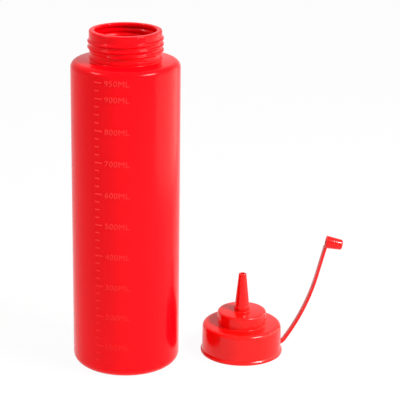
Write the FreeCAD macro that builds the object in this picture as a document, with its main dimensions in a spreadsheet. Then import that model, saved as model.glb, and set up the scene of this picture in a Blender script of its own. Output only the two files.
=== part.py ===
"""Squeeze bottle for sauces, standing open, with its screw cap set down beside it.

Two mouldings make the set.  The bottle is a blow-moulded can with a flat
shoulder and a wide threaded neck.  The closure is one injection moulding: a
screw skirt with a lip, a raised boss, a tapered spout, and a strap that
carries the little cap for the spout's tip.  Sizes are in millimetres.
"""

import FreeCAD
import Part
import math
import os
from types import SimpleNamespace

import Sketcher
from FreeCAD import Placement, Rotation, Vector

# ---------------------------------------------------------------- driving sizes

SIZES = {
    # bottle body
    "bottle_height": 246.0,
    "body_radius": 38.5,
    "body_wall": 1.3,
    "floor_wall": 1.6,
    "foot_round": 5.3,
    "foot_width": 4.2,
    "push_up": 2.5,
    "push_slope": 5.0,
    "shoulder_round": 4.0,
    "shoulder_rise": 0.5,
    # bottle neck
    "neck_height": 21.5,
    "neck_radius": 25.5,
    "neck_wall": 2.1,
    "rim_wall": 3.8,
    "lip_depth": 3.2,
    "lip_slope": 1.6,
    "rim_round": 1.0,
    "thread_height": 1.1,
    "waist_depth": 0.8,
    "waist_length": 2.7,
    "bead_level": 3.1,
    "bead_width": 2.0,
    "bead_height": 0.2,
    "root_depth": 0.4,
    "root_round": 0.8,
    # closure: screw cap
    "thread_clearance": 0.4,
    "cap_wall": 2.3,
    "top_wall": 1.8,
    "skirt_height": 22.1,
    "skirt_draft": 0.3,
    "skirt_round": 3.0,
    "lip_proud": 1.25,
    "lip_height": 1.6,
    "boss_radius": 18.0,
    "boss_height": 9.8,
    "boss_round": 2.0,
    "inside_round": 1.2,
    # closure: spout
    "collar_radius": 6.0,
    "collar_height": 3.6,
    "collar_step": 0.6,
    "spout_height": 28.7,
    "spout_wall": 1.4,
    "tip_radius": 2.8,
    # closure: strap and the little cap on its end
    "strap_width": 5.0,
    "strap_thickness": 1.6,
    "strap_offset": 8.0,
    "strap_root": 1.0,
    "strap_bend_radius": 7.4,
    "strap_bend_angle": 54.4,
    "strap_sweep_radius": 152.5,
    "strap_sweep_angle": 20.7,
    "strap_straight": 22.3,
    "tip_cap_seat": 5.0,
    "tip_cap_clearance": 0.03,
    "tip_cap_taper": 1.0,
    "tip_cap_length": 12.6,
    "tip_cap_wall": 1.4,
    "tip_cap_round": 1.4,
    # how the two pieces stand
    "cap_spacing": 86.1,
    "cap_setback": 8.0,
    "cap_turn": 3.0,
}


class Size:
    """A length or angle from the sheet, with the expression that gives it."""

    def __init__(self, value, text):
        self.value = value
        self.text = text

    def _with(self, other, symbol, value):
        return Size(value, f"({self.text} {symbol} {as_size(other).text})")

    def __add__(self, other):
        return self._with(other, "+", self.value + as_size(other).value)

    def __sub__(self, other):
        return self._with(other, "-", self.value - as_size(other).value)

    def __mul__(self, other):
        return self._with(other, "*", self.value * as_size(other).value)

    def __truediv__(self, other):
        return self._with(other, "/", self.value / as_size(other).value)


def as_size(number):
    return number if isinstance(number, Size) else Size(float(number), f"{number}")


def sine(angle):
    return Size(math.sin(math.radians(angle.value)), f"sin({angle.text})")


def cosine(angle):
    return Size(math.cos(math.radians(angle.value)), f"cos({angle.text})")


def make_sheet(doc):
    """Writes the driving sizes into a sheet and hands them back as Size values."""
    sheet = doc.addObject("Spreadsheet::Sheet", "Sizes")
    for row, (alias, number) in enumerate(SIZES.items(), start=1):
        sheet.set(f"A{row}", alias.replace("_", " "))
        sheet.set(f"B{row}", str(number))
        sheet.setAlias(f"B{row}", alias)
    doc.recompute()
    return SimpleNamespace(**{a: Size(float(sheet.get(a)), f"Sizes.{a}") for a in SIZES})


# ---------------------------------------------------------------- sketch helpers

H_AXIS = -1
V_AXIS = -2
ORIGIN = (-1, 1)


def new_body(doc, name):
    body = doc.addObject("PartDesign::Body", name)
    body.Label = name
    return body


def new_sketch(body, name, role):
    """An empty sketch on one of the body's own origin planes."""
    sketch = body.newObject("Sketcher::SketchObject", name)
    plane = next(p for p in body.Origin.OriginFeatures if p.Role == role)
    sketch.AttachmentSupport = (plane, [""])
    sketch.MapMode = "FlatFace"
    return sketch


def constrain(sketch, kind, *where, size=None):
    """Adds one constraint, bound to its size where it has one."""
    if size is None:
        return sketch.addConstraint(Sketcher.Constraint(kind, *where))
    index = sketch.addConstraint(Sketcher.Constraint(kind, *where, size.value))
    sketch.setExpression(f"Constraints[{index}]", size.text)
    return index


def fix_point(sketch, point, across, up):
    """Dimensions a point from the sketch's origin, or puts it on an axis where that is nothing."""
    for kind, distance, axis in (("DistanceX", across, V_AXIS), ("DistanceY", up, H_AXIS)):
        if as_size(distance).value == 0.0:
            constrain(sketch, "PointOnObject", *point, axis)
        else:
            constrain(sketch, kind, *ORIGIN, *point, size=distance)


def rounding(before, corner, after, radius):
    """Start, end and centre of the arc that rounds a corner, and whether it turns left."""
    back = (before - corner).normalize()
    ahead = (after - corner).normalize()
    half = back.getAngle(ahead) / 2.0
    reach = radius / math.tan(half)
    centre = corner + (back + ahead).normalize() * (radius / math.sin(half))
    turns_left = ahead.cross(back).z > 0
    return corner + back * reach, corner + ahead * reach, centre, turns_left


def arc_through(centre, radius, start, end):
    """Counter-clockwise arc about a centre between two of its points."""
    first = math.atan2(start.y - centre.y, start.x - centre.x)
    last = math.atan2(end.y - centre.y, end.x - centre.x)
    if last < first:
        last += 2.0 * math.pi
    return Part.ArcOfCircle(Part.Circle(centre, Vector(0, 0, 1), radius), first, last)


def outline(sketch, corners):
    """Closed outline through corners (across, up, radius), every corner dimensioned and rounded."""
    points = [Vector(as_size(c[0]).value, as_size(c[1]).value, 0) for c in corners]
    count = len(corners)
    rounded = {}
    for i, corner in enumerate(corners):
        if len(corner) == 3:
            rounded[i] = rounding(points[i - 1], points[i], points[(i + 1) % count], corner[2].value)
    lines = []
    for i in range(count):
        after = (i + 1) % count
        start = rounded[i][1] if i in rounded else points[i]
        end = rounded[after][0] if after in rounded else points[after]
        lines.append(sketch.addGeometry(Part.LineSegment(start, end), False))
    for i, corner in enumerate(corners):
        incoming, outgoing = lines[i - 1], lines[i]
        if i not in rounded:
            constrain(sketch, "Coincident", incoming, 2, outgoing, 1)
            fix_point(sketch, (outgoing, 1), corner[0], corner[1])
            continue
        start, end, centre, turns_left = rounded[i]
        ends = (start, end) if turns_left else (end, start)
        arc = sketch.addGeometry(arc_through(centre, corner[2].value, *ends), False)
        mark = sketch.addGeometry(Part.Point(points[i]), True)
        constrain(sketch, "Tangent", incoming, 2, arc, 1 if turns_left else 2)
        constrain(sketch, "Tangent", arc, 2 if turns_left else 1, outgoing, 1)
        constrain(sketch, "PointOnObject", mark, 1, incoming)
        constrain(sketch, "PointOnObject", mark, 1, outgoing)
        constrain(sketch, "Radius", arc, size=corner[2])
        fix_point(sketch, (mark, 1), corner[0], corner[1])


def turn(body, name, sketch, axis, kind="Revolution"):
    """Turns a sketch all the way round one of its own axes."""
    feature = body.newObject(f"PartDesign::{kind}", name)
    feature.Profile = (sketch, [""])
    feature.ReferenceAxis = (sketch, [axis])
    feature.Angle = 360.0
    return feature


# ---------------------------------------------------------------- bottle


def bottle_outline(s):
    """Half section of the bottle: out along its foot, up the wall, over the rim, down the inside."""
    shoulder = s.bottle_height - s.neck_height
    root = s.neck_radius - s.root_depth
    waist = s.neck_radius - s.waist_depth
    bead = s.neck_radius + s.bead_height
    bead_low = shoulder + s.shoulder_rise + s.bead_level - s.bead_width
    bead_top = bead_low + s.bead_width
    land = bead_top + s.waist_length + s.waist_depth
    inside = s.body_radius - s.body_wall
    mouth = s.neck_radius - s.rim_wall
    neck_inside = s.neck_radius - s.neck_wall
    lip_low = s.bottle_height - s.lip_depth
    foot_inner = s.body_radius - s.foot_round - s.foot_width
    crown = foot_inner - s.push_slope
    return [
        (0, s.push_up),
        (crown, s.push_up, s.push_up),
        (foot_inner, 0, s.push_up / 2),
        (s.body_radius, 0, s.foot_round),
        (s.body_radius, shoulder, s.shoulder_round),
        (root, shoulder + s.shoulder_rise, s.root_round),
        (root, bead_low),
        (bead, bead_low + s.bead_height),
        (bead, bead_top - s.bead_height),
        (waist, bead_top),
        (waist, land - s.waist_depth),
        (s.neck_radius, land),
        (s.neck_radius, s.bottle_height, s.rim_round),
        (mouth, s.bottle_height, s.rim_round / 2),
        (mouth, lip_low),
        (neck_inside, lip_low - s.lip_slope),
        (neck_inside, shoulder + s.shoulder_rise - s.body_wall, s.root_round),
        (inside, shoulder - s.body_wall, s.shoulder_round - s.body_wall),
        (inside, s.floor_wall, s.foot_round - s.body_wall),
        (foot_inner, s.floor_wall, s.push_up / 2),
        (crown, s.push_up + s.floor_wall, s.push_up),
        (0, s.push_up + s.floor_wall),
    ]


def make_bottle(doc, s):
    body = new_body(doc, "bottle")
    section = new_sketch(body, "bottle_section", "XZ_Plane")
    outline(section, bottle_outline(s))
    turn(body, "bottle_shell", section, "V_Axis")
    return body


# ---------------------------------------------------------------- closure


def cap_outline(s):
    """Half section of the screw cap and spout: out along its lip, up the steps, down the bore."""
    inner = s.neck_radius + s.thread_height + s.thread_clearance
    skirt = inner + s.cap_wall
    edge = s.lip_height / 4
    boss_top = s.skirt_height + s.boss_height
    collar_top = boss_top + s.collar_height
    tip = boss_top + s.spout_height
    ceiling = s.skirt_height - s.top_wall
    boss_ceiling = boss_top - s.top_wall
    boss_inner = s.boss_radius - s.top_wall
    cone = s.collar_radius - s.collar_step
    return [
        (inner, 0),
        (skirt + s.lip_proud, 0, edge),
        (skirt + s.lip_proud, s.lip_height, edge),
        (skirt, s.lip_height, edge),
        (skirt - s.skirt_draft, s.skirt_height, s.skirt_round),
        (s.boss_radius, s.skirt_height, edge),
        (s.boss_radius, boss_top, s.boss_round),
        (s.collar_radius, boss_top, edge),
        (s.collar_radius, collar_top, edge),
        (cone, collar_top),
        (s.tip_radius, tip, edge),
        (s.tip_radius - s.spout_wall, tip),
        (cone - s.spout_wall, boss_ceiling, s.inside_round),
        (boss_inner, boss_ceiling, s.inside_round),
        (boss_inner, ceiling, s.inside_round),
        (inner, ceiling, s.inside_round),
    ]


def tip_cap_bore(s):
    """Radius of the little cap's mouth, which slides its seat's length down the spout."""
    cone = s.collar_radius - s.collar_step
    slope = (cone - s.tip_radius) / (s.spout_height - s.collar_height)
    return s.tip_radius + slope * s.tip_cap_seat + s.tip_cap_clearance


def strap_start(s):
    """How far from the cap's axis the strap grows out of the middle of the skirt wall."""
    middle = s.neck_radius + s.thread_height + s.thread_clearance + s.cap_wall / 2
    return Size(
        math.sqrt(middle.value**2 - s.strap_offset.value**2),
        f"sqrt(({middle.text})^2 - ({s.strap_offset.text})^2)",
    )


def strap_end(s):
    """Where the strap's middle line meets the little cap, across and up."""
    lean = s.strap_bend_angle + s.strap_sweep_angle
    across = (
        strap_start(s) + s.strap_root
        + s.strap_bend_radius * sine(s.strap_bend_angle)
        + s.strap_sweep_radius * (sine(lean) - sine(s.strap_bend_angle))
        + s.strap_straight * cosine(lean)
    )
    up = (
        s.strap_thickness / 2
        + s.strap_bend_radius * (as_size(1) - cosine(s.strap_bend_angle))
        + s.strap_sweep_radius * (cosine(s.strap_bend_angle) - cosine(lean))
        + s.strap_straight * sine(lean)
    )
    return across, up


def arc_from(start, heading, radius, sweep):
    """Left-hand arc leaving a point at a heading, with its end point, angles in radians."""
    centre = start + Vector(-math.sin(heading), math.cos(heading), 0) * radius
    first = heading - math.pi / 2
    last = first + sweep
    end = centre + Vector(math.cos(last), math.sin(last), 0) * radius
    return Part.ArcOfCircle(Part.Circle(centre, Vector(0, 0, 1), radius), first, last), end


def strap_path(sketch, s):
    """Middle line of the strap: a short level root, a tight bend, a long sweep and a straight."""
    bend = math.radians(s.strap_bend_angle.value)
    sweep = math.radians(s.strap_sweep_angle.value)
    start = Vector(strap_start(s).value, s.strap_thickness.value / 2, 0)
    flat_end = start + Vector(s.strap_root.value, 0, 0)
    tight, tight_end = arc_from(flat_end, 0.0, s.strap_bend_radius.value, bend)
    wide, wide_end = arc_from(tight_end, bend, s.strap_sweep_radius.value, sweep)
    straight = s.strap_straight + s.tip_cap_wall
    along = Vector(math.cos(bend + sweep), math.sin(bend + sweep), 0)
    top = wide_end + along * straight.value
    level = sketch.addGeometry(Part.LineSegment(start, flat_end), False)
    first = sketch.addGeometry(tight, False)
    second = sketch.addGeometry(wide, False)
    last = sketch.addGeometry(Part.LineSegment(wide_end, top), False)
    fix_point(sketch, (level, 1), strap_start(s), s.strap_thickness / 2)
    constrain(sketch, "Horizontal", level)
    constrain(sketch, "DistanceX", level, 1, level, 2, size=s.strap_root)
    constrain(sketch, "Tangent", level, 2, first, 1)
    constrain(sketch, "Radius", first, size=s.strap_bend_radius)
    constrain(sketch, "Tangent", first, 2, second, 1)
    constrain(sketch, "Radius", second, size=s.strap_sweep_radius)
    constrain(sketch, "Tangent", second, 2, last, 1)
    constrain(sketch, "Distance", last, size=straight)
    for arc, angle in ((first, s.strap_bend_angle), (second, s.strap_sweep_angle)):
        index = sketch.addConstraint(Sketcher.Constraint("Angle", arc, math.radians(angle.value)))
        sketch.setExpression(f"Constraints[{index}]", f"{angle.text} * 1 deg")


def strap_section(sketch, s):
    """Flat rectangle across the strap, lying in the plane where the strap starts."""
    near = s.strap_offset - s.strap_width / 2
    far = s.strap_offset + s.strap_width / 2
    outline(sketch, [(near, 0), (far, 0), (far, s.strap_thickness), (near, s.strap_thickness)])


def shift_sketch(sketch, **moves):
    """Moves a sketch in its own frame by sizes from the sheet."""
    for axis, size in moves.items():
        sketch.setExpression(f".AttachmentOffset.Base.{axis}", size.text)


def add_strap(body, s):
    path = new_sketch(body, "strap_path", "XZ_Plane")
    shift_sketch(path, z=s.strap_offset * -1)
    strap_path(path, s)
    section = new_sketch(body, "strap_section", "YZ_Plane")
    shift_sketch(section, z=strap_start(s))
    strap_section(section, s)
    pipe = body.newObject("PartDesign::AdditivePipe", "strap")
    pipe.Profile = section
    pipe.Spine = (path, [])
    return pipe


def add_tip_cap(body, s):
    """The little cap: its open rim lies in the plane of the strap, and its cup points away."""
    lean = s.strap_bend_angle + s.strap_sweep_angle
    across, up = strap_end(s)
    half = s.strap_thickness / 2
    mouth = tip_cap_bore(s)
    outer = mouth + s.tip_cap_wall
    centre_across = across + outer * cosine(lean) - half * sine(lean)
    centre_up = up + outer * sine(lean) + half * cosine(lean)
    cup = [
        (0, 0),
        (s.tip_cap_length, 0),
        (s.tip_cap_length, outer - s.tip_cap_taper, s.tip_cap_round),
        (0, outer),
    ]
    depth = s.tip_cap_length - s.tip_cap_wall
    bore = [
        (0, 0),
        (depth, 0),
        (depth, mouth - s.tip_cap_taper, s.tip_cap_wall / 2),
        (0, mouth),
    ]
    for name, kind, corners in (
        ("tip_cap_cup", "Revolution", cup),
        ("tip_cap_bore", "Groove", bore),
    ):
        sketch = new_sketch(body, f"{name}_section", "XZ_Plane")
        tilt = Rotation(Vector(0, 0, 1), lean.value - 90.0)
        sketch.AttachmentOffset = Placement(Vector(0, 0, 0), tilt)
        shift_sketch(sketch, x=centre_across, y=centre_up, z=s.strap_offset * -1)
        sketch.setExpression(".AttachmentOffset.Rotation.Angle", f"({lean.text} - 90) * 1 deg")
        outline(sketch, corners)
        turn(body, name, sketch, "H_Axis", kind)


def make_closure(doc, s):
    body = new_body(doc, "closure")
    section = new_sketch(body, "cap_section", "XZ_Plane")
    outline(section, cap_outline(s))
    turn(body, "screw_cap", section, "V_Axis")
    add_strap(body, s)
    add_tip_cap(body, s)
    return body


# ---------------------------------------------------------------- the set


def furthest_reach(s):
    """How far the little cap's end stands out from the screw cap's axis."""
    lean = s.strap_bend_angle + s.strap_sweep_angle
    across, _ = strap_end(s)
    outer = tip_cap_bore(s) + s.tip_cap_wall
    return (
        across
        + outer * cosine(lean)
        + (s.tip_cap_length - s.tip_cap_round) * sine(lean)
        + (outer - s.tip_cap_taper - s.tip_cap_round) * cosine(lean)
        + s.tip_cap_round
        - s.strap_thickness / 2 * sine(lean)
    )


def place_pieces(bottle, closure, s):
    """Stands both pieces on the ground, with the middle of the set over the origin."""
    right = s.cap_spacing + furthest_reach(s) * cosine(s.cap_turn) - s.strap_offset * sine(s.cap_turn)
    bottle_across = (s.body_radius - right) / 2
    bottle.setExpression(".Placement.Base.x", bottle_across.text)
    closure.Placement = Placement(Vector(0, 0, 0), Rotation(Vector(0, 0, 1), s.cap_turn.value))
    closure.setExpression(".Placement.Base.x", (bottle_across + s.cap_spacing).text)
    closure.setExpression(".Placement.Base.y", s.cap_setback.text)
    closure.setExpression(".Placement.Rotation.Angle", f"{s.cap_turn.text} * 1 deg")


def check_document(doc, parts):
    for item in doc.Objects:
        if "Invalid" in item.State or "Error" in item.State:
            raise RuntimeError(f"{item.Label} did not build: {item.State}")
    for part in parts:
        shape = part.Shape
        if shape.isNull() or not shape.isValid() or len(shape.Solids) != 1:
            raise RuntimeError(f"{part.Label} is not one sound solid")


def main():
    doc = FreeCAD.newDocument("squeeze_bottle")
    sizes = make_sheet(doc)
    bottle = make_bottle(doc, sizes)
    closure = make_closure(doc, sizes)
    place_pieces(bottle, closure, sizes)
    doc.recompute()
    parts = [bottle, closure]
    check_document(doc, parts)
    os.makedirs("parts", exist_ok=True)
    for part in parts:
        part.Shape.exportStep(os.path.join("parts", f"{part.Label}.step"))


main()
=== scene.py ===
"""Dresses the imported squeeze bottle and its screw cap, and sets up a studio picture of them."""

import math

import bmesh
import bpy
from mathutils import Matrix, Vector


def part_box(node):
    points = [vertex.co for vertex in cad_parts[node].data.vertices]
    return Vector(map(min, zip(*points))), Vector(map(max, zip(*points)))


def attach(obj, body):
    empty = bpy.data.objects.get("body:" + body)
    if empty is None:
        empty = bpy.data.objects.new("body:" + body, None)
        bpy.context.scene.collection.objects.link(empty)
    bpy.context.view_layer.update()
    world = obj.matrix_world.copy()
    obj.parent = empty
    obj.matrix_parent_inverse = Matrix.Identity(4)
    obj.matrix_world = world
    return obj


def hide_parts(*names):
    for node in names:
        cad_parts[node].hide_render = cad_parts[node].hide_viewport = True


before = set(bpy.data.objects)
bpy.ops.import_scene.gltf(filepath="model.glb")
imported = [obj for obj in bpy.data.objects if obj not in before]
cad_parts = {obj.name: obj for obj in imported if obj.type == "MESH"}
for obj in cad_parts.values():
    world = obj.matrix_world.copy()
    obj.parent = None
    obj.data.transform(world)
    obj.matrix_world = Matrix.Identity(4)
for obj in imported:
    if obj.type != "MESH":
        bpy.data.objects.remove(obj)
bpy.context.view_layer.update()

bl_info = {
    "name": "Squeeze bottle and cap",
    "version": (1, 0, 0),
    "blender": (4, 5, 0),
    "location": "3D View > Sidebar > Squeeze bottle",
    "description": "Finished meshes, plastics and a studio for a squeeze bottle and its screw cap",
    "category": "Object",
}

MM = 0.001
BOTTLE_LOW, BOTTLE_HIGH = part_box("bottle")
CLOSURE_LOW, CLOSURE_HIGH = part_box("closure")

# The solid closure's lip touches the low sides of its box, which gives the place of the cap's axis.
CAP_LIP_RADIUS = 30.55 * MM

# The measuring scale, in millilitres.
LABELS = (950, 900, 800, 700, 600, 500, 400, 300, 200, 100)
FIRST_MARK, LAST_MARK, MARK_EVERY = 25, 950, 25

# How finely the meshes are cut, and how near two vertices lie that become one.
ROUND_SEGMENTS = 6
BOTTLE_STEPS, CAP_STEPS, TIP_CAP_STEPS = 224, 192, 72
BEND_STEPS, SWEEP_STEPS = 14, 72
NECK_ROW = 0.4 * MM
MERGE = 0.002 * MM

# Edges that turn by more than CREASE are shaded sharp, and those that turn by more than SHARP get rounded.
CREASE = math.radians(34.0)
SHARP = 1.0

# How wide the edges of the marks and of the strap are rounded.
MARK_EDGE, STRAP_EDGE = 0.28 * MM, 0.3 * MM

# Raised marks and numbers reach this far into the wall, so that no gap shows behind them.
SUNK = 0.2 * MM

# The lettering's strokes are a little thinner and stand a little wider apart than the font's own.
LABEL_THINNING, LABEL_SPACING = -0.004, 1.06


# ---------------------------------------------------------------- what a user would change


def length(name, description, default):
    """A size in metres that a user can set."""
    return bpy.props.FloatProperty(
        name=name, description=description, default=default, precision=5, unit="LENGTH", subtype="DISTANCE"
    )


def turn_angle(name, description, degrees):
    """An angle that a user can set, given in degrees."""
    return bpy.props.FloatProperty(
        name=name, description=description, default=math.radians(degrees), unit="ROTATION", subtype="ANGLE"
    )


def share(name, description, default, most=1.0):
    """A plain number from nothing up to its most."""
    return bpy.props.FloatProperty(name=name, description=description, default=default, min=0.0, max=most)


def colour(name, description, default):
    """A colour that a user can set."""
    return bpy.props.FloatVectorProperty(
        name=name, description=description, default=default, size=3, subtype="COLOR", min=0.0, max=1.0
    )


class BottleSizes(bpy.types.PropertyGroup):
    """Sizes of the blown bottle."""

    axis: length(
        "Axis", "How far the bottle's axis stands from the middle", (BOTTLE_LOW.x + BOTTLE_HIGH.x) / 2
    )
    height: length("Height", "Ground to rim", BOTTLE_HIGH.z)
    radius: length("Radius", "Outside radius of the body", 38.5 * MM)
    wall: length("Wall", "Thickness of the body's wall", 1.3 * MM)
    floor: length("Floor", "Thickness of the floor", 1.6 * MM)
    foot_round: length("Foot rounding", "Rounding between wall and foot", 6.8 * MM)
    foot_width: length("Foot ring", "Width of the ring that it stands on", 4.2 * MM)
    push_up: length("Push-up", "How far the middle of the floor is pushed up", 2.5 * MM)
    push_slope: length("Push-up slope", "Width of the slope inside the foot ring", 5.0 * MM)
    shoulder_round: length("Shoulder rounding", "Rounding between wall and shoulder", 5.0 * MM)
    shoulder_rise: length("Shoulder rise", "How much the shoulder climbs to the neck", 0.5 * MM)
    neck_height: length("Neck height", "Shoulder to rim", 21.5 * MM)
    neck_radius: length("Neck radius", "Outside radius of the neck under the thread", 25.5 * MM)
    neck_wall: length("Neck wall", "Thickness of the neck", 2.6 * MM)
    rim_wall: length("Rim wall", "Thickness of the lip at the mouth", 3.8 * MM)
    lip_depth: length("Lip depth", "How deep the thick lip goes", 2.2 * MM)
    lip_slope: length("Lip slope", "Height of the slope below the lip", 0.9 * MM)
    rim_round: length("Rim rounding", "Rounding of the outer edge of the rim", 1.0 * MM)
    root_depth: length("Root", "How far the neck draws in where it leaves the shoulder", 0.2 * MM)
    bead_level: length("Bead level", "Shoulder to the bead under the thread", 1.1 * MM)
    bead_width: length("Bead width", "Height of the bead", 2.0 * MM)
    bead_proud: length("Bead", "How far the bead stands out", 0.2 * MM)
    waist_depth: length("Waist", "How far the neck draws in over the bead", 0.35 * MM)
    waist_length: length("Waist length", "Bead to the threaded part of the neck", 3.5 * MM)


class ThreadSizes(bpy.types.PropertyGroup):
    """Run and section of the screw thread on the neck."""

    pitch: length("Pitch", "Rise of the thread in one turn", 4.05 * MM)
    proud: length("Height", "How far the ridge stands out", 1.1 * MM)
    half_width: length("Half width", "Half the width of the ridge at its foot", 1.45 * MM)
    flank: length("Flank", "Width of the rounded flank", 1.05 * MM)
    front_drop: length("Front drop", "From the rim down to the ridge at the front", 10.8 * MM)
    start: turn_angle("Start", "Where the ridge begins, measured from the front", -404.0)
    end: turn_angle("End", "Where the ridge ends, measured from the front", 505.0)
    fade: turn_angle("Fade", "Angle over which each end sinks away", 26.0)
    inner_depth: length("Inner groove", "Depth of the groove that the blown ridge leaves inside", 0.6 * MM)
    inner_lift: length("Inner lift", "How far the groove lies over the ridge outside", 1.2 * MM)
    inner_run: turn_angle("Inner run", "How much further round the groove goes on", 45.0)


class ScaleSizes(bpy.types.PropertyGroup):
    """Place and size of the raised measuring scale."""

    zero: length("Zero", "Height of the scale's zero", 1.14 * MM)
    step: length("Step", "Height of each hundred millilitres", 22.665 * MM)
    start: turn_angle("Start", "Where the marks begin, measured from the front", -36.4)
    short: length("Short mark", "Length of a short mark", 3.3 * MM)
    long: length("Long mark", "Length of a long mark", 5.5 * MM)
    stroke: length("Stroke", "Height of a mark", 0.8 * MM)
    proud: length("Height", "How far marks and numbers stand out", 0.4 * MM)
    words: turn_angle("Numbers", "Where the numbers begin, measured from the front", -24.9)
    words_width: length("Number width", "Length of one label", 17.3 * MM)
    words_height: length("Number height", "Height of the figures", 3.9 * MM)


class CapSizes(bpy.types.PropertyGroup):
    """Place and sizes of the screw cap."""

    across: length("Across", "How far the cap's axis stands from the middle", CLOSURE_LOW.x + CAP_LIP_RADIUS)
    back: length("Back", "How far back the cap's axis stands", CLOSURE_LOW.y + CAP_LIP_RADIUS)
    turned: turn_angle("Turn", "How far the strap points back from straight across", 3.0)
    bore: length("Bore", "Inside radius of the skirt", 27.0 * MM)
    wall: length("Wall", "Thickness of the skirt", 2.3 * MM)
    top_wall: length("Top wall", "Thickness of the top and the boss", 1.8 * MM)
    skirt_height: length("Skirt height", "Ground to the top of the skirt", 22.1 * MM)
    skirt_draft: length("Skirt draft", "How much the skirt narrows to its top", 0.3 * MM)
    skirt_round: length("Skirt rounding", "Rounding of the skirt's top edge", 3.0 * MM)
    lip_proud: length("Lip", "How far the lip stands out at the foot", 1.0 * MM)
    lip_height: length("Lip height", "Thickness of the lip", 1.6 * MM)
    boss_radius: length("Boss radius", "Radius of the raised boss", 18.0 * MM)
    boss_height: length("Boss height", "How far the boss stands over the skirt", 9.8 * MM)
    boss_round: length("Boss rounding", "Rounding of the boss's top edge", 2.0 * MM)
    collar_radius: length("Collar radius", "Radius of the collar round the spout's root", 6.0 * MM)
    collar_height: length("Collar height", "Height of the collar", 3.6 * MM)
    collar_step: length("Collar step", "Step from collar to spout", 0.6 * MM)
    spout_height: length("Spout height", "Boss to the spout's tip", 28.7 * MM)
    tip_radius: length("Tip radius", "Outside radius of the spout's tip", 2.8 * MM)
    spout_wall: length("Spout wall", "Thickness of the spout", 1.4 * MM)


class StrapSizes(bpy.types.PropertyGroup):
    """Path and section of the strap, and sizes of the little cap on its end."""

    width: length("Width", "Width of the strap", 5.0 * MM)
    thickness: length("Thickness", "Thickness of the strap", 1.75 * MM)
    offset: length("Offset", "How far the strap stands beside the cap's middle", 8.0 * MM)
    root: length("Root", "Level length out of the middle of the wall", 1.0 * MM)
    bend_radius: length("Bend radius", "Radius of the bend at the root", 7.4 * MM)
    bend_angle: turn_angle("Bend", "How far the strap turns up at the root", 54.4)
    sweep_radius: length("Sweep radius", "Radius of the long sweep", 152.5 * MM)
    sweep_angle: turn_angle("Sweep", "How far the long sweep turns", 20.7)
    straight: length("Straight", "Length of the straight end", 22.3 * MM)
    tip_bore: length("Tip cap bore", "Radius of the little cap's mouth", 3.35 * MM)
    tip_wall: length("Tip cap wall", "Thickness of the little cap", 1.4 * MM)
    tip_taper: length("Tip cap taper", "How much the little cap narrows to its end", 1.0 * MM)
    tip_swivel: turn_angle("Tip cap swivel", "How far the soft strap's end is twisted", -10.0)
    tip_lift: turn_angle("Tip cap lift", "How far the little cap is bent up from square on", 4.5)
    tip_length: length("Tip cap length", "Length of the little cap", 12.6 * MM)
    tip_round: length("Tip cap rounding", "Rounding of the little cap's closed end", 1.4 * MM)


class PlasticColours(bpy.types.PropertyGroup):
    """Colours and surface of the plastics."""

    bottle: colour("Bottle", "Colour of the bottle's polythene", (0.88, 0.001, 0.006))
    bottle_deep: colour("Bottle, deeper", "Colour where the blown wall is thicker", (0.85, 0.001, 0.005))
    # The scale colours are painted highlight: the marks are the bottle's own polythene, drawn paler for the
    # high lamps catching their edges, strongest up high and faint at the foot.
    scale: colour("Scale", "Colour of the thin raised marks and numbers", (0.95, 0.040, 0.040))
    scale_low_highlight: colour("Scale, low", "Colour of the marks and numbers near the foot", (0.90, 0.012, 0.014))
    cap: colour("Cap", "Colour of the cap's polythene", (0.79, 0.005, 0.004))
    cap_deep: colour("Cap, deeper", "Colour in the cap's faint flow marks", (0.75, 0.004, 0.003))
    bottle_roughness: share("Bottle roughness", "Roughness of the blown surface", 0.18)
    cap_roughness: share("Cap roughness", "Roughness of the moulded surface", 0.17)
    bottle_sheen: share("Bottle specular level", "Strength of the bottle's mirror reflection", 0.11)
    cap_sheen: share("Cap specular level", "Strength of the cap's mirror reflection", 0.3)


class StudioSettings(bpy.types.PropertyGroup):
    """Camera, lamps and room."""

    lens: bpy.props.FloatProperty(
        name="Lens", description="Focal length of the camera", default=145.88, min=20.0, unit="CAMERA"
    )
    distance: length("Distance", "How far in front of the bottle the camera stands", 1.1)
    camera_height: length("Camera height", "Height of the camera over the ground", 0.4849)
    camera_side: length("Camera side", "How far right of the bottle's axis the camera stands", -0.0539)
    pitch: turn_angle("Pitch", "How far the camera looks down", 17.53)
    yaw: turn_angle("Yaw", "How far the camera looks to the right", 5.55)
    roll: turn_angle("Roll", "How far the camera leans", 0.68)
    shift: bpy.props.FloatProperty(name="Shift", description="Vertical shift of the lens", default=-0.05)
    right_light: share("Right light", "Power of the high light on the right, in watts", 21.0, 200.0)
    left_light: share("Left light", "Power of the high light on the left, in watts", 6.5, 200.0)
    side_light: share("Side light", "Power of the broad light near on the right, in watts", 1.6, 200.0)
    surround: share("Surround", "Strength of the pale room", 0.42, 5.0)


# ---------------------------------------------------------------- shaping tools


def round_corner(bm, vert, radius):
    """Rounds one corner of a wire to a radius."""
    ends = [(edge.other_vert(vert).co - vert.co).normalized() for edge in vert.link_edges]
    reach = radius / math.tan(ends[0].angle(ends[1]) / 2)
    bmesh.ops.bevel(
        bm, geom=[vert], offset=reach, offset_type="OFFSET", segments=ROUND_SEGMENTS,
        profile=0.5, affect="VERTICES", material=-1,
    )


def round_edges(bm, edges, width, segments):
    """Rounds the chosen edges of a solid."""
    bmesh.ops.bevel(
        bm, geom=edges, offset=width, offset_type="OFFSET", segments=segments,
        profile=0.5, affect="EDGES", material=-1,
    )


def half_section(corners, closed=False):
    """A wire through (radius, height) or (radius, height, rounding) corners, ready to be turned."""
    bm = bmesh.new()
    verts = [bm.verts.new((corner[0], 0.0, corner[1])) for corner in corners]
    for first, second in zip(verts, verts[1:] + verts[:1] if closed else verts[1:]):
        bm.edges.new((first, second))
    for vert, corner in zip(verts, corners):
        if len(corner) == 3:
            round_corner(bm, vert, corner[2])
    return bm


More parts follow.
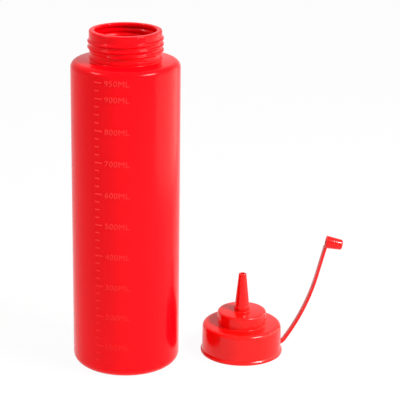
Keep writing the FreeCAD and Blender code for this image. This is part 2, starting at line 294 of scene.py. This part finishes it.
def add_rows(bm, low, high, spacing):
    """Divides the long edges of a wire between two heights, so that relief can be raised there."""
    for edge in list(bm.edges):
        heights = [vert.co.z for vert in edge.verts]
        cuts = int(edge.calc_length() / spacing)
        if min(heights) >= low and max(heights) <= high and cuts > 0:
            bmesh.ops.subdivide_edges(bm, edges=[edge], cuts=cuts)


def turn_section(bm, steps):
    """Turns a half section all the way round its own upright axis."""
    bmesh.ops.spin(
        bm, geom=bm.verts[:] + bm.edges[:], cent=(0, 0, 0), axis=(0, 0, 1), dvec=(0, 0, 0),
        angle=math.tau, steps=steps, use_merge=True, use_duplicate=False,
    )
    bmesh.ops.remove_doubles(bm, verts=bm.verts[:], dist=MERGE)
    bmesh.ops.recalc_face_normals(bm, faces=bm.faces[:])


def finish_piece(bm, name, plastic, place=None):
    """Makes a bmesh a piece of the object, smooth but for its real edges, with its place in its mesh."""
    if place is not None:
        bm.transform(place)
    for face in bm.faces:
        face.smooth = True
    for edge in bm.edges:
        edge.smooth = not (len(edge.link_faces) == 2 and edge.calc_face_angle() > CREASE)
    mesh = bpy.data.meshes.new(name)
    bm.to_mesh(mesh)
    bm.free()
    mesh.materials.append(plastic)
    piece = bpy.data.objects.new(name, mesh)
    bpy.context.scene.collection.objects.link(piece)
    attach(piece, "root")
    return piece


def ease(share_in):
    """Smooth step from nothing to one."""
    held = min(max(share_in, 0.0), 1.0)
    return held * held * (3.0 - 2.0 * held)


# ---------------------------------------------------------------- plastics


BLOWN_FLOW = (55.0, 55.0, 9.0)
MOULDED_FLOW = (30.0, 30.0, 30.0)
BLOWN_GRAIN, MOULDED_GRAIN = 900.0, 1100.0
WAVE_SCALE = 40.0
WAVES_OVER_PORES = 6
SMOOTHER, ROUGHER = 0.03, 0.04
SCATTER = 0.12
SCATTER_RADIUS = (1.0, 0.1, 0.1)
SCATTER_SCALE = 0.0012

# From the upper of these heights down to the lower one, the scale's painted highlight fades to its low
# colour.
SCALE_HIGHLIGHT_FADE = (10 * MM, 130 * MM)


def new_node(tree, kind, settings):
    """Adds a node with the given values on its inputs."""
    node = tree.nodes.new(kind)
    for socket, value in settings.items():
        node.inputs[socket].default_value = value
    return node


def plastic_material(name, main, deep, roughness, specular, grain, flow, depth, scatter=SCATTER, rise=None):
    """Moulded polythene: faint flow marks in its colour, a fine skin, and a little light let in.

    With a rise, the colour goes from deep at its low height to main at its high one instead; the scale uses
    this for a painted highlight that fades towards the foot.
    """
    found = bpy.data.materials.get(name)
    if found:
        return found
    made = bpy.data.materials.new(name)
    made.use_nodes = True
    tree = made.node_tree
    tree.nodes.clear()
    join = tree.links.new
    place = new_node(tree, "ShaderNodeTexCoord", {})
    skin = new_node(
        tree,
        "ShaderNodeBsdfPrincipled",
        {
            "Specular IOR Level": specular,
            "Subsurface Weight": scatter,
            "Subsurface Radius": SCATTER_RADIUS,
            "Subsurface Scale": SCATTER_SCALE,
        },
    )
    out = new_node(tree, "ShaderNodeOutputMaterial", {})
    join(skin.outputs["BSDF"], out.inputs["Surface"])

    streaks = new_node(tree, "ShaderNodeMapping", {"Scale": flow})
    join(place.outputs["Object"], streaks.inputs["Vector"])
    clouds = new_node(tree, "ShaderNodeTexNoise", {"Scale": 1.0, "Detail": 3.0})
    join(streaks.outputs["Vector"], clouds.inputs["Vector"])
    tint = new_node(tree, "ShaderNodeMix", {})
    tint.data_type = "RGBA"
    tint.inputs["A"].default_value = (*main, 1.0)
    tint.inputs["B"].default_value = (*deep, 1.0)
    if rise is None:
        join(clouds.outputs["Fac"], tint.inputs["Factor"])
    else:
        # This height gradient is the scale's painted highlight: paler up high where the lamps catch the
        # marks, fainter at the foot.
        parts = new_node(tree, "ShaderNodeSeparateXYZ", {})
        join(place.outputs["Object"], parts.inputs["Vector"])
        heights = {"From Min": rise[0], "From Max": rise[1], "To Min": 1.0, "To Max": 0.0}
        climb = new_node(tree, "ShaderNodeMapRange", heights)
        join(parts.outputs["Z"], climb.inputs["Value"])
        join(climb.outputs["Result"], tint.inputs["Factor"])
    join(tint.outputs["Result"], skin.inputs["Base Color"])

    smooth, rough = roughness - SMOOTHER, roughness + ROUGHER
    shine = {"From Min": 0.3, "From Max": 0.7, "To Min": smooth, "To Max": rough}
    gloss = new_node(tree, "ShaderNodeMapRange", shine)
    join(clouds.outputs["Fac"], gloss.inputs["Value"])
    join(gloss.outputs["Result"], skin.inputs["Roughness"])

    pores = new_node(tree, "ShaderNodeTexNoise", {"Scale": grain, "Detail": 4.0, "Roughness": 0.6})
    waves = new_node(tree, "ShaderNodeTexNoise", {"Scale": WAVE_SCALE, "Detail": 1.0})
    fine = new_node(tree, "ShaderNodeBump", {"Strength": 0.25, "Distance": depth})
    broad = new_node(tree, "ShaderNodeBump", {"Strength": 0.3, "Distance": depth * WAVES_OVER_PORES})
    for noise, bump in ((pores, fine), (waves, broad)):
        join(place.outputs["Object"], noise.inputs["Vector"])
        join(noise.outputs["Fac"], bump.inputs["Height"])
    join(fine.outputs["Normal"], broad.inputs["Normal"])
    join(broad.outputs["Normal"], skin.inputs["Normal"])
    made.diffuse_color = (*main, 1.0)
    return made


def bottle_plastic():
    """The bottle's blown wall, with flow marks drawn out along its height."""
    tones = bpy.context.scene.plastic_colours
    return plastic_material(
        "blown_polythene", tones.bottle, tones.bottle_deep, tones.bottle_roughness,
        tones.bottle_sheen, grain=BLOWN_GRAIN, flow=BLOWN_FLOW, depth=0.03 * MM,
    )


def scale_highlight_plastic():
    """The same wall where it stands out in thin marks, with a painted highlight that is paler towards the
    shoulder.
    """
    tones = bpy.context.scene.plastic_colours
    return plastic_material(
        "raised_polythene", tones.scale, tones.scale_low_highlight, tones.bottle_roughness,
        tones.bottle_sheen, grain=BLOWN_GRAIN, flow=BLOWN_FLOW, depth=0.02 * MM, scatter=0.0,
        rise=SCALE_HIGHLIGHT_FADE,
    )


def cap_plastic():
    """The cap's moulded surface, glossier than the bottle's."""
    tones = bpy.context.scene.plastic_colours
    return plastic_material(
        "moulded_polythene", tones.cap, tones.cap_deep, tones.cap_roughness,
        tones.cap_sheen, grain=MOULDED_GRAIN, flow=MOULDED_FLOW, depth=0.006 * MM,
    )


# ---------------------------------------------------------------- bottle


# The thread moves only what stands THREAD_FREE over the shoulder and lies near one of the neck's faces.
# Outside it stays clear of the rim's rounding, counted RIM_SHARE times.
THREAD_FREE = 3.4 * MM
OUTER_REACH, INNER_REACH = 0.3 * MM, 0.05 * MM
RIM_SHARE = 1.05


def thread_relief(bm, size, thread):
    """Raises the screw thread on the neck, and sinks the groove that blowing leaves inside it."""
    outer_least = size.neck_radius - OUTER_REACH
    inner_most = size.neck_radius - size.neck_wall + INNER_REACH
    inner_least = inner_most - 2 * INNER_REACH
    lowest = size.height - size.neck_height + THREAD_FREE
    outer_top = size.height - size.rim_round * RIM_SHARE
    front = size.height - thread.front_drop
    for vert in bm.verts:
        radius = math.hypot(vert.co.x, vert.co.y)
        outside = radius > outer_least
        inside = inner_least < radius < inner_most
        if vert.co.z < lowest or not (outside or inside):
            continue
        if outside and vert.co.z > outer_top:
            continue
        angle = math.atan2(vert.co.y, vert.co.x) + math.pi / 2
        rise = front + thread.pitch * angle / math.tau + (thread.inner_lift if inside else 0.0)
        turn = round((vert.co.z - rise) / thread.pitch)
        along = angle + turn * math.tau
        off = abs(vert.co.z - rise - turn * thread.pitch)
        last = thread.end + (thread.inner_run if inside else 0.0)
        ends = ease((along - thread.start) / thread.fade) * ease((last - along) / thread.fade)
        ridge = ease((thread.half_width - off) / thread.flank) * ends
        move = thread.proud * ridge if outside else thread.inner_depth * ridge
        vert.co.x *= (radius + move) / radius
        vert.co.y *= (radius + move) / radius


class SQUEEZE_OT_bottle(bpy.types.Operator):
    """Turn the bottle's shell and raise the screw thread on its neck"""

    bl_idname = "squeeze.bottle"
    bl_label = "Bottle"

    def execute(self, context):
        size = context.scene.bottle_sizes
        thread = context.scene.thread_sizes
        shoulder = size.height - size.neck_height
        root = size.neck_radius - size.root_depth
        waist = size.neck_radius - size.waist_depth
        bead = size.neck_radius + size.bead_proud
        bead_low = shoulder + size.shoulder_rise + size.bead_level
        bead_top = bead_low + size.bead_width
        land = bead_top + size.waist_length
        # Only edges that lie wholly over rows_from get rows, so the neck's inner wall is split just over it.
        rows_from = shoulder + 2.0 * MM
        inner_split = shoulder + 2.2 * MM
        inner = size.radius - size.wall
        neck_inner = size.neck_radius - size.neck_wall
        mouth = size.neck_radius - size.rim_wall
        lip_low = size.height - size.lip_depth
        foot_inner = size.radius - size.foot_round - size.foot_width
        crown = foot_inner - size.push_slope
        bm = half_section(
            [
                (0, size.push_up),
                (crown, size.push_up, size.push_up),
                (foot_inner, 0, size.push_up / 2),
                (size.radius, 0, size.foot_round),
                (size.radius, shoulder, size.shoulder_round),
                (root, shoulder + size.shoulder_rise, 0.8 * MM),
                (root, bead_low, 0.4 * MM),
                (bead, bead_low, 0.5 * MM),
                (bead, bead_top, 0.6 * MM),
                (waist, bead_top, 0.5 * MM),
                (waist, land - 0.8 * MM, 0.6 * MM),
                (size.neck_radius, land, 0.6 * MM),
                (size.neck_radius, size.height, size.rim_round),
                (mouth, size.height, size.rim_round * 0.7),
                (mouth, lip_low, 0.6 * MM),
                (neck_inner, lip_low - size.lip_slope, 0.8 * MM),
                (neck_inner, inner_split),
                (neck_inner, shoulder + size.shoulder_rise - size.wall, 0.8 * MM),
                (inner, shoulder - size.wall, size.shoulder_round - size.wall),
                (inner, size.floor, size.foot_round - size.wall),
                (foot_inner, size.floor, size.push_up / 2),
                (crown, size.push_up + size.floor, size.push_up),
                (0, size.push_up + size.floor),
            ]
        )
        add_rows(bm, rows_from, size.height, NECK_ROW)
        turn_section(bm, BOTTLE_STEPS)
        thread_relief(bm, size, thread)
        piece = finish_piece(
            bm, "bottle_shell", bottle_plastic(), Matrix.Translation((size.axis, 0, 0))
        )
        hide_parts("bottle")
        return {"FINISHED"}


def wrap_on_wall(bm, size, start):
    """Bends flat relief onto the bottle: across goes round the wall, away stands off it.

    The bend mirrors the relief, so the normals are worked out afresh and then turned outwards.
    """
    for vert in bm.verts:
        angle = start - math.pi / 2 + vert.co.x / size.radius
        out = size.radius + vert.co.y
        vert.co = (size.axis + out * math.cos(angle), out * math.sin(angle), vert.co.z)
    bm.normal_update()
    bmesh.ops.recalc_face_normals(bm, faces=bm.faces[:])


def level_height(scale, level):
    """Height over the ground of a level of the scale, given in millilitres."""
    return scale.zero + scale.step * level / 100


class SQUEEZE_OT_scale_marks(bpy.types.Operator):
    """Raise the measuring scale's marks on the wall"""

    bl_idname = "squeeze.scale_marks"
    bl_label = "Scale marks"

    def execute(self, context):
        size = context.scene.bottle_sizes
        scale = context.scene.scale_sizes
        bm = bmesh.new()
        for level in range(FIRST_MARK, LAST_MARK + 1, MARK_EVERY):
            across = scale.long if level in LABELS else scale.short
            middle = Vector((across / 2, (scale.proud - SUNK) / 2, level_height(scale, level)))
            block = Matrix.Diagonal((across, scale.proud + SUNK, scale.stroke, 1.0))
            made = bmesh.ops.create_cube(bm, size=1.0, matrix=Matrix.Translation(middle) @ block)
            edges = list({edge for vert in made["verts"] for edge in vert.link_edges})
            lengthwise = [e for e in edges if abs(e.verts[0].co.x - e.verts[1].co.x) > scale.stroke]
            bmesh.ops.subdivide_edges(bm, edges=lengthwise, cuts=3, use_grid_fill=True)
        outer = [e for e in bm.edges if all(v.co.y > 0 for v in e.verts) and e.calc_face_angle(0) > SHARP]
        round_edges(bm, outer, MARK_EDGE, 2)
        wrap_on_wall(bm, size, scale.start)
        finish_piece(bm, "scale_marks", scale_highlight_plastic())
        return {"FINISHED"}


def flat_label(text):
    """A mesh of raised lettering, lying flat, with front and back faces half a unit from the middle."""
    words = bpy.data.curves.new("label", "FONT")
    words.body = text
    words.size = 1.0
    words.resolution_u = 3
    words.extrude = 0.5
    words.offset = LABEL_THINNING
    words.space_character = LABEL_SPACING
    holder = bpy.data.objects.new("label", words)
    bpy.context.scene.collection.objects.link(holder)
    bpy.context.view_layer.update()
    flat = bpy.data.meshes.new_from_object(holder)
    bpy.data.objects.remove(holder)
    bpy.data.curves.remove(words)
    label = bmesh.new()
    label.from_mesh(flat)
    bmesh.ops.remove_doubles(label, verts=label.verts[:], dist=1e-5)
    label.to_mesh(flat)
    label.free()
    return flat


def set_label(flat, scale, level):
    """Brings a flat label to its size and stands it up at its level."""
    low_x, high_x = (pick(vert.co.x for vert in flat.vertices) for pick in (min, max))
    low_y, high_y = (pick(vert.co.y for vert in flat.vertices) for pick in (min, max))
    height = level_height(scale, level)
    for vert in flat.vertices:
        across = (vert.co.x - low_x) / (high_x - low_x) * scale.words_width
        up = ((vert.co.y - low_y) / (high_y - low_y) - 0.5) * scale.words_height
        away = scale.proud if vert.co.z > 0 else -SUNK
        vert.co = (across, away, height + up)


class SQUEEZE_OT_scale_numbers(bpy.types.Operator):
    """Raise the measuring scale's numbers on the wall"""

    bl_idname = "squeeze.scale_numbers"
    bl_label = "Scale numbers"

    def execute(self, context):
        size = context.scene.bottle_sizes
        scale = context.scene.scale_sizes
        bm = bmesh.new()
        for level in LABELS:
            flat = flat_label(f"{level}ML")
            set_label(flat, scale, level)
            bm.from_mesh(flat)
            bpy.data.meshes.remove(flat)
        wrap_on_wall(bm, size, scale.words)
        finish_piece(bm, "scale_numbers", scale_highlight_plastic())
        return {"FINISHED"}


# ---------------------------------------------------------------- cap


def cap_place(cap):
    """Where the cap stands: its own axis upright at its place, turned a little."""
    return Matrix.Translation((cap.across, cap.back, 0)) @ Matrix.Rotation(cap.turned, 4, "Z")


class SQUEEZE_OT_screw_cap(bpy.types.Operator):
    """Turn the screw cap with its lip, boss and bored spout"""

    bl_idname = "squeeze.screw_cap"
    bl_label = "Screw cap"

    def execute(self, context):
        cap = context.scene.cap_sizes
        skirt = cap.bore + cap.wall
        lip = skirt + cap.lip_proud
        boss_top = cap.skirt_height + cap.boss_height
        collar_top = boss_top + cap.collar_height
        tip = boss_top + cap.spout_height
        cone = cap.collar_radius - cap.collar_step
        ceiling = cap.skirt_height - cap.top_wall
        boss_ceiling = boss_top - cap.top_wall
        boss_bore = cap.boss_radius - cap.top_wall
        bm = half_section(
            [
                (cap.bore, 0, 0.2 * MM),
                (lip, 0, 0.3 * MM),
                (lip, cap.lip_height, 0.6 * MM),
                (skirt, cap.lip_height + cap.lip_proud, 1.2 * MM),
                (skirt - cap.skirt_draft, cap.skirt_height, cap.skirt_round),
                (cap.boss_radius, cap.skirt_height, 0.5 * MM),
                (cap.boss_radius, boss_top, cap.boss_round),
                (cap.collar_radius, boss_top, 0.6 * MM),
                (cap.collar_radius, collar_top, 0.35 * MM),
                (cone, collar_top, 0.2 * MM),
                (cap.tip_radius, tip, 0.45 * MM),
                (cap.tip_radius - cap.spout_wall, tip, 0.2 * MM),
                (cone - cap.spout_wall, boss_ceiling, 1.0 * MM),
                (boss_bore, boss_ceiling, 1.2 * MM),
                (boss_bore, ceiling, 1.2 * MM),
                (cap.bore, ceiling, 1.2 * MM),
            ],
            closed=True,
        )
        turn_section(bm, CAP_STEPS)
        piece = finish_piece(bm, "screw_cap", cap_plastic(), cap_place(cap))
        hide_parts("closure")
        return {"FINISHED"}


def run_on(bm, face, move):
    """Extrudes an end face by a move and gives the new end face."""
    made = bmesh.ops.extrude_face_region(bm, geom=[face])["geom"]
    bmesh.ops.translate(bm, vec=move, verts=[g for g in made if isinstance(g, bmesh.types.BMVert)])
    return next(g for g in made if isinstance(g, bmesh.types.BMFace))


def curl_on(bm, face, centre, angle, steps):
    """Spins an end face upwards about a centre and gives the new end face."""
    geom = [face, *face.edges, *face.verts]
    made = bmesh.ops.spin(
        bm, geom=geom, cent=centre, axis=(0, -1, 0), dvec=(0, 0, 0), angle=angle, steps=steps,
        use_merge=False, use_duplicate=False,
    )["geom_last"]
    return next(g for g in made if isinstance(g, bmesh.types.BMFace))


def on_arc(hub, radius, angle):
    """The point of an arc about a hub at an angle from straight below it."""
    return hub + radius * Vector((math.sin(angle), 0, -math.cos(angle)))


class SQUEEZE_OT_strap(bpy.types.Operator):
    """Bend the strap out of the cap's lip and set the little cap on its end"""

    bl_idname = "squeeze.strap"
    bl_label = "Strap and tip cap"

    def execute(self, context):
        cap = context.scene.cap_sizes
        strap = context.scene.strap_sizes
        start = math.sqrt((cap.bore + cap.wall / 2) ** 2 - strap.offset**2)
        half = strap.thickness / 2
        lean = strap.bend_angle + strap.sweep_angle
        along = Vector((math.cos(lean), 0, math.sin(lean)))
        across = Vector((-math.sin(lean), 0, math.cos(lean)))

        bm = bmesh.new()
        place = Matrix.Translation((start, strap.offset, half)) @ Matrix.Rotation(math.pi / 2, 4, "Y")
        shape = place @ Matrix.Diagonal((half, strap.width / 2, 1.0, 1.0))
        bmesh.ops.create_grid(bm, x_segments=1, y_segments=1, size=1.0, matrix=shape)
        end = run_on(bm, bm.faces[:][0], (strap.root, 0, 0))
        corner = Vector((start + strap.root, strap.offset, half))
        hub = corner + Vector((0, 0, strap.bend_radius))
        end = curl_on(bm, end, hub, strap.bend_angle, BEND_STEPS)
        bend_end = on_arc(hub, strap.bend_radius, strap.bend_angle)
        hub = on_arc(bend_end, -strap.sweep_radius, strap.bend_angle)
        end = curl_on(bm, end, hub, strap.sweep_angle, SWEEP_STEPS)
        sweep_end = on_arc(hub, strap.sweep_radius, lean)
        run_on(bm, end, along * (strap.straight + strap.tip_wall))
        # The last extrusion leaves the face that it started from inside the strap.
        inside = [face for face in bm.faces if all(len(edge.link_faces) > 2 for edge in face.edges)]
        bmesh.ops.delete(bm, geom=inside, context="FACES_ONLY")
        bmesh.ops.recalc_face_normals(bm, faces=bm.faces[:])
        round_edges(bm, [edge for edge in bm.edges if edge.calc_face_angle(0) > SHARP], STRAP_EDGE, 3)
        finish_piece(bm, "cap_strap", cap_plastic(), cap_place(cap))

        outer = strap.tip_bore + strap.tip_wall
        depth = strap.tip_length - strap.tip_wall
        bm = half_section(
            [
                (0, strap.tip_length),
                (outer - strap.tip_taper, strap.tip_length, strap.tip_round),
                (outer, 0, 0.3 * MM),
                (strap.tip_bore, 0, 0.25 * MM),
                (strap.tip_bore - strap.tip_taper, depth, 0.5 * MM),
                (0, depth),
            ]
        )
        turn_section(bm, TIP_CAP_STEPS)
        strap_end = sweep_end + along * strap.straight
        middle = strap_end + along * outer + across * half
        tilt = Matrix.Rotation(strap.tip_swivel, 4, "Z")
        tilt @= Matrix.Rotation(math.pi - lean - strap.tip_lift, 4, "Y")
        finish_piece(
            bm, "tip_cap", cap_plastic(), cap_place(cap) @ Matrix.Translation(middle) @ tilt
        )
        return {"FINISHED"}


# ---------------------------------------------------------------- studio


def white_for_camera(tree, lit, white, keep):
    """Mixes a lit shader with plain white where camera, mirror or see-through rays meet it."""
    path = tree.nodes.new("ShaderNodeLightPath")
    most = path.outputs["Is Camera Ray"]
    for name in ("Is Glossy Ray", "Is Transmission Ray"):
        either = tree.nodes.new("ShaderNodeMath")
        either.operation = "MAXIMUM"
        tree.links.new(most, either.inputs[0])
        tree.links.new(path.outputs[name], either.inputs[1])
        most = either.outputs["Value"]
    part = tree.nodes.new("ShaderNodeMath")
    part.operation = "MULTIPLY"
    part.inputs[1].default_value = keep
    tree.links.new(most, part.inputs[0])
    mix = tree.nodes.new("ShaderNodeMixShader")
    tree.links.new(part.outputs["Value"], mix.inputs["Fac"])
    tree.links.new(lit, mix.inputs[1])
    tree.links.new(white, mix.inputs[2])
    return mix.outputs["Shader"]


FLOOR_HALF = 6.0
FLOOR_GREY = (0.86, 0.86, 0.86, 1.0)
FLOOR_WHITE = 0.95
LAMP_AIM = (0, 0, 0.12)
PLAIN, WARM = (1.0, 1.0, 1.0), (1.0, 0.95, 0.8)

# Each softbox: name, place, aim, width, height, the setting that holds its watts, and colour.
SOFTBOXES = (
    ("right_softbox", (0.75, -0.55, 1.05), LAMP_AIM, 0.52, 0.17, "right_light", PLAIN),
    ("left_softbox", (-1.02, -0.18, 1.05), LAMP_AIM, 0.32, 0.13, "left_light", PLAIN),
    ("side_softbox", (0.42, 0.06, 0.2), (-0.06, 0.06, 0.2), 0.68, 0.4, "side_light", WARM),
)


def studio_floor():
    """A wide white floor that keeps a little of the object's shadow."""
    bm = bmesh.new()
    bmesh.ops.create_grid(bm, x_segments=1, y_segments=1, size=FLOOR_HALF)
    mesh = bpy.data.meshes.new("studio_floor")
    bm.to_mesh(mesh)
    bm.free()
    floor = bpy.data.objects.new("studio_floor", mesh)
    bpy.context.scene.collection.objects.link(floor)
    paper = bpy.data.materials.new("white_paper")
    paper.use_nodes = True
    tree = paper.node_tree
    tree.nodes.clear()
    lit = tree.nodes.new("ShaderNodeBsdfDiffuse")
    lit.inputs["Color"].default_value = FLOOR_GREY
    glow = tree.nodes.new("ShaderNodeEmission")
    out = tree.nodes.new("ShaderNodeOutputMaterial")
    shown = white_for_camera(tree, lit.outputs["BSDF"], glow.outputs["Emission"], FLOOR_WHITE)
    tree.links.new(shown, out.inputs["Surface"])
    mesh.materials.append(paper)


def studio_room(strength):
    """A pale room all round, plain white to the camera."""
    world = bpy.data.worlds.new("studio_room")
    bpy.context.scene.world = world
    world.use_nodes = True
    tree = world.node_tree
    tree.nodes.clear()
    room = tree.nodes.new("ShaderNodeBackground")
    room.inputs["Strength"].default_value = strength
    white = tree.nodes.new("ShaderNodeBackground")
    out = tree.nodes.new("ShaderNodeOutputWorld")
    shown = white_for_camera(tree, room.outputs["Background"], white.outputs["Background"], 1.0)
    tree.links.new(shown, out.inputs["Surface"])


def softbox(name, spot, aim, width, height, watts, glow):
    """A rectangular lamp turned to what it aims at."""
    lamp = bpy.data.lights.new(name, "AREA")
    lamp.color = glow
    lamp.shape = "RECTANGLE"
    lamp.size, lamp.size_y = width, height
    lamp.energy = watts
    holder = bpy.data.objects.new(name, lamp)
    holder.location = spot
    holder.rotation_euler = (Vector(aim) - Vector(spot)).to_track_quat("-Z", "Y").to_euler()
    bpy.context.scene.collection.objects.link(holder)


def studio_camera(studio, axis):
    """A camera in front of the bottle, turned by its yaw, pitch and roll."""
    lens = bpy.data.cameras.new("studio_camera")
    lens.lens = studio.lens
    lens.sensor_width = 36.0
    lens.shift_y = studio.shift
    lens.clip_start, lens.clip_end = 0.05, 20.0
    camera = bpy.data.objects.new("studio_camera", lens)
    side, lean = studio.yaw, studio.pitch
    right = Vector((math.cos(side), -math.sin(side), 0))
    up = Vector((math.sin(side) * math.sin(lean), math.cos(side) * math.sin(lean), math.cos(lean)))
    ahead = Vector((math.sin(side) * math.cos(lean), math.cos(side) * math.cos(lean), -math.sin(lean)))
    rolled_right = right * math.cos(studio.roll) + up * math.sin(studio.roll)
    rolled_up = up * math.cos(studio.roll) - right * math.sin(studio.roll)
    turned = Matrix((rolled_right, rolled_up, -ahead)).transposed().to_4x4()
    spot = Vector((axis + studio.camera_side, -studio.distance, studio.camera_height))
    camera.matrix_world = Matrix.Translation(spot) @ turned
    bpy.context.scene.collection.objects.link(camera)
    bpy.context.scene.camera = camera


class SQUEEZE_OT_studio(bpy.types.Operator):
    """Set up the floor, the room, the lights and the camera"""

    bl_idname = "squeeze.studio"
    bl_label = "Studio"

    def execute(self, context):
        studio = context.scene.studio_settings
        context.scene.view_settings.view_transform = "Standard"
        studio_floor()
        studio_room(studio.surround)
        for name, spot, aim, width, height, setting, glow in SOFTBOXES:
            softbox(name, spot, aim, width, height, getattr(studio, setting), glow)
        studio_camera(studio, context.scene.bottle_sizes.axis)
        return {"FINISHED"}


# ---------------------------------------------------------------- panel and registration

GROUPS = {
    "bottle_sizes": BottleSizes,
    "thread_sizes": ThreadSizes,
    "scale_sizes": ScaleSizes,
    "cap_sizes": CapSizes,
    "strap_sizes": StrapSizes,
    "plastic_colours": PlasticColours,
    "studio_settings": StudioSettings,
}
OPERATORS = (
    SQUEEZE_OT_bottle,
    SQUEEZE_OT_scale_marks,
    SQUEEZE_OT_scale_numbers,
    SQUEEZE_OT_screw_cap,
    SQUEEZE_OT_strap,
    SQUEEZE_OT_studio,
)


class SQUEEZE_PT_panel(bpy.types.Panel):
    """Buttons for the pieces and fields for their sizes"""

    bl_label = "Squeeze bottle"
    bl_idname = "SQUEEZE_PT_panel"
    bl_space_type = "VIEW_3D"
    bl_region_type = "UI"
    bl_category = "Squeeze bottle"

    def draw(self, context):
        for operator in OPERATORS:
            self.layout.operator(operator.bl_idname)
        for name, group in GROUPS.items():
            box = self.layout.box()
            box.label(text=name.replace("_", " ").capitalize())
            for field in group.__annotations__:
                box.prop(getattr(context.scene, name), field)


def register():
    """Registers the settings, the operators and the panel."""
    for name, group in GROUPS.items():
        bpy.utils.register_class(group)
        setattr(bpy.types.Scene, name, bpy.props.PointerProperty(type=group))
    for operator in OPERATORS:
        bpy.utils.register_class(operator)
    bpy.utils.register_class(SQUEEZE_PT_panel)


def unregister():
    """Takes away what register put in."""
    bpy.utils.unregister_class(SQUEEZE_PT_panel)
    for operator in reversed(OPERATORS):
        bpy.utils.unregister_class(operator)
    for name, group in reversed(GROUPS.items()):
        delattr(bpy.types.Scene, name)
        bpy.utils.unregister_class(group)


def main():
    """Builds every piece in order, then the studio."""
    register()
    for operator in OPERATORS:
        group, name = operator.bl_idname.split(".")
        getattr(getattr(bpy.ops, group), name)()
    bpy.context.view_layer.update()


if __name__ == "__main__":
    main()
